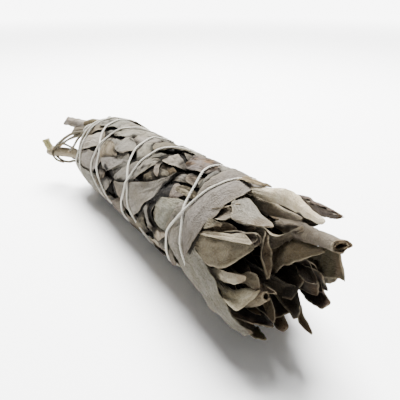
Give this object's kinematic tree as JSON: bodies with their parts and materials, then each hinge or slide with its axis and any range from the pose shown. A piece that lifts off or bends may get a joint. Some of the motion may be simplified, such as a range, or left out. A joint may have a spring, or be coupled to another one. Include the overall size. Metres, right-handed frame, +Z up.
{
  "type": "sage smudge stick",
  "caption": "Bundle of dried sage sprigs lying down, wrapped in its own leaves and wound with cotton thread, for burning as incense.",
  "frame": {"origin": "under the middle of the bundle's outline, on the surface that it lies on", "axes": "+X along the bundle from the stem end to the loose leaf tips, +Y to the far side in the picture, +Z up"},
  "size_m": [0.2125, 0.0575, 0.0617],
  "materials": {
    "sage_leaf": "matte, velvety, grey-green",
    "cotton_thread": "matte off-white"
  },
  "bodies": {
    "root": {"sprig_1": "sage_leaf", "sprig_2": "sage_leaf", "sprig_3": "sage_leaf", "sprig_4": "sage_leaf", "sprig_5": "sage_leaf", "sprig_6": "sage_leaf", "sprig_7": "sage_leaf", "sprig_8": "sage_leaf", "thread": "cotton_thread"}
  },
  "joints": []
}
